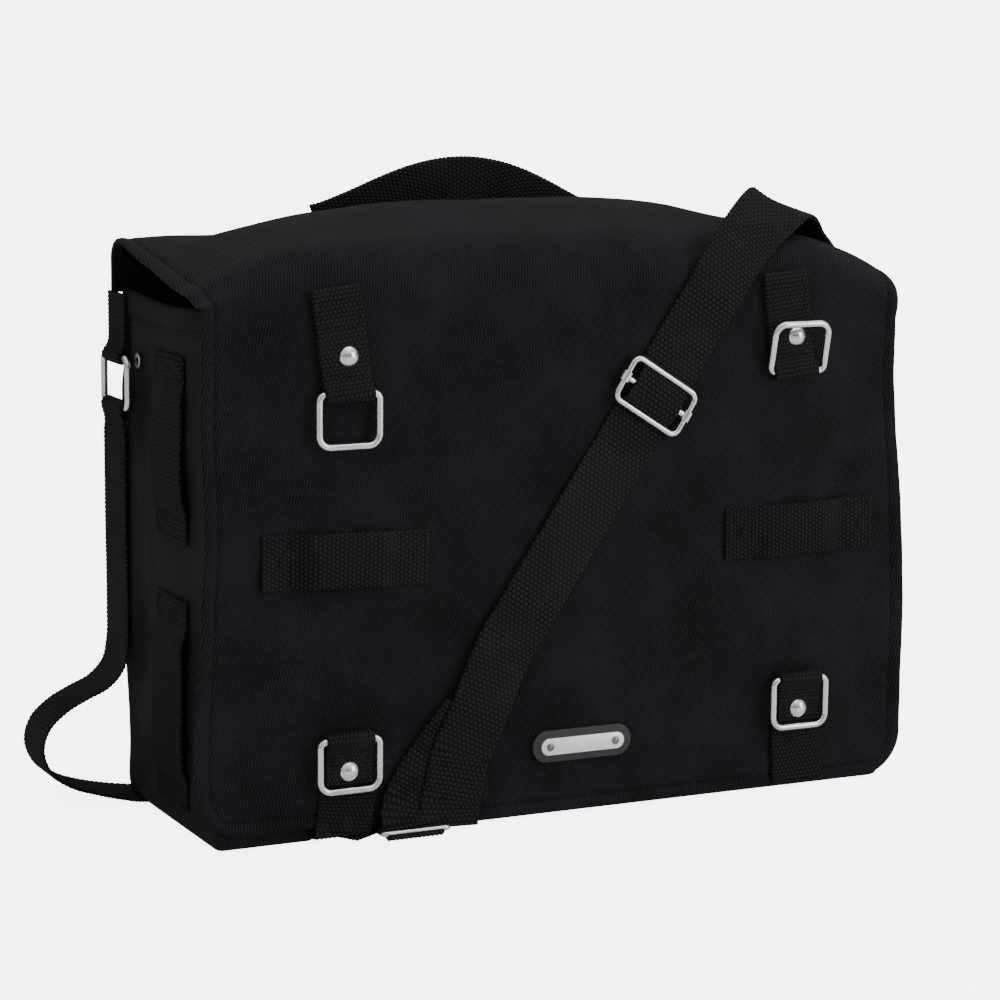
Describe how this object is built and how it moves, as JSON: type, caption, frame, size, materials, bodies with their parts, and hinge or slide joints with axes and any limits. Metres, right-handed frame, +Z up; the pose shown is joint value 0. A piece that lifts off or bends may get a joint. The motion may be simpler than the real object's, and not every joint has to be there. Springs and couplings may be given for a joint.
{
  "type": "messenger bag",
  "caption": "Black canvas messenger bag with a folding front flap, webbing tabs with metal rings, snap closures, a carry handle and a long webbing shoulder strap.",
  "frame": {"origin": "middle of the plane the bag rests on, under the middle of the canvas body", "axes": "+Z up, -Y out of the front of the flap, +X to the right of a person facing the front"},
  "size_m": [0.4622, 0.1663, 0.3218],
  "materials": {
    "canvas": "matte heavy twill",
    "webbing": "matte woven webbing",
    "strap_webbing": "matte coarse woven webbing",
    "nickel": "satin nickel plate",
    "badge_leather": "smooth",
    "board": "matte"
  },
  "bodies": {
    "bag": {"front_panel": "canvas", "back_panel": "canvas", "side_panel_left": "canvas", "side_panel_right": "canvas", "base_panel": "canvas", "base_board": "board", "mouth_binding": "webbing", "flap_seam": "canvas", "side_loop_upper_left": "webbing", "side_loop_upper_right": "webbing", "side_loop_lower_left": "webbing", "side_loop_lower_right": "webbing", "side_stud_left": "nickel", "side_stud_right": "nickel", "ring_tab_left": "webbing", "ring_tab_right": "webbing", "eyelet_left": "nickel", "eyelet_right": "nickel", "closure_anchor_left": "webbing", "closure_anchor_right": "webbing", "strap_left_run": "strap_webbing", "strap_under_run": "strap_webbing"},
    "flap_top": {"flap_top": "canvas", "strap_over": "strap_webbing", "handle_anchor_left": "webbing", "handle_anchor_right": "webbing"},
    "flap_front": {"flap_front": "canvas", "upper_tab_left": "webbing", "upper_tab_right": "webbing", "upper_rivet_left": "nickel", "upper_rivet_right": "nickel", "belt_loop_left": "webbing", "belt_loop_right": "webbing", "badge_patch": "badge_leather", "badge_plate": "nickel", "badge_screws": "nickel", "snap_stud_left": "nickel", "snap_stud_right": "nickel", "strap_front": "strap_webbing", "strap_end_patch": "strap_webbing", "strap_link": "nickel", "strap_link_fold": "strap_webbing"},
    "closure_left": {"closure_strap_left": "webbing", "snap_socket_left": "nickel", "snap_cap_left": "nickel"},
    "closure_right": {"closure_strap_right": "webbing", "snap_socket_right": "nickel", "snap_cap_right": "nickel"},
    "closure_ring_left": {"closure_ring_left": "nickel"},
    "closure_ring_right": {"closure_ring_right": "nickel"},
    "upper_ring_left": {"upper_ring_left": "nickel"},
    "upper_ring_right": {"upper_ring_right": "nickel"},
    "side_ring_left": {"side_ring_left": "nickel", "strap_end_left": "strap_webbing"},
    "side_ring_right": {"side_ring_right": "nickel", "strap_end_right": "strap_webbing"},
    "handle": {"carry_handle": "webbing"},
    "slider": {"slider_frame": "nickel", "slider_bar": "nickel", "slider_fold": "strap_webbing"}
  },
  "joints": [
    {"name": "flap_lift", "type": "hinge", "parent": "bag", "child": "flap_top", "pos_m": [0, 0.0674, 0.276], "axis": [-1, 0, 0], "range_deg": [0, 100]},
    {"name": "flap_unfold", "type": "hinge", "parent": "flap_top", "child": "flap_front", "pos_m": [0, -0.06162, 0.28422], "axis": [-1, 0, 0], "range_deg": [0, 85]},
    {"name": "closure_left_open", "type": "hinge", "parent": "bag", "child": "closure_left", "pos_m": [-0.122, -0.0688, 0.0031], "axis": [1, 0, 0], "range_deg": [0, 110]},
    {"name": "closure_right_open", "type": "hinge", "parent": "bag", "child": "closure_right", "pos_m": [0.133, -0.0688, 0.0031], "axis": [1, 0, 0], "range_deg": [0, 110]},
    {"name": "closure_ring_left_swing", "type": "hinge", "parent": "closure_left", "child": "closure_ring_left", "pos_m": [-0.122, -0.07186, 0.052], "axis": [-1, 0, 0], "range_deg": [0, 150]},
    {"name": "closure_ring_right_swing", "type": "hinge", "parent": "closure_right", "child": "closure_ring_right", "pos_m": [0.133, -0.07186, 0.06], "axis": [-1, 0, 0], "range_deg": [0, 150]},
    {"name": "upper_ring_left_swing", "type": "hinge", "parent": "flap_front", "child": "upper_ring_left", "pos_m": [-0.122, -0.07106, 0.222], "axis": [-1, 0, 0], "range_deg": [0, 165]},
    {"name": "upper_ring_right_swing", "type": "hinge", "parent": "flap_front", "child": "upper_ring_right", "pos_m": [0.127, -0.07106, 0.222], "axis": [1, 0, 0], "range_deg": [0, 168]},
    {"name": "side_ring_left_swing", "type": "hinge", "parent": "bag", "child": "side_ring_left", "pos_m": [-0.19366, 0.064, 0.229], "axis": [0, 1, 0], "range_deg": [0, 80]},
    {"name": "side_ring_right_swing", "type": "hinge", "parent": "bag", "child": "side_ring_right", "pos_m": [0.19366, 0.064, 0.229], "axis": [0, 1, 0], "range_deg": [0, 110]},
    {"name": "handle_swing", "type": "hinge", "parent": "flap_top", "child": "handle", "pos_m": [-0.005, 0.048, 0.2942], "axis": [1, 0, 0], "range_deg": [-70, 45]},
    {"name": "slider_travel", "type": "slide", "parent": "flap_front", "child": "slider", "axis": [0.5549, 0, 0.8319], "range_m": [-0.06, 0.026]}
  ]
}
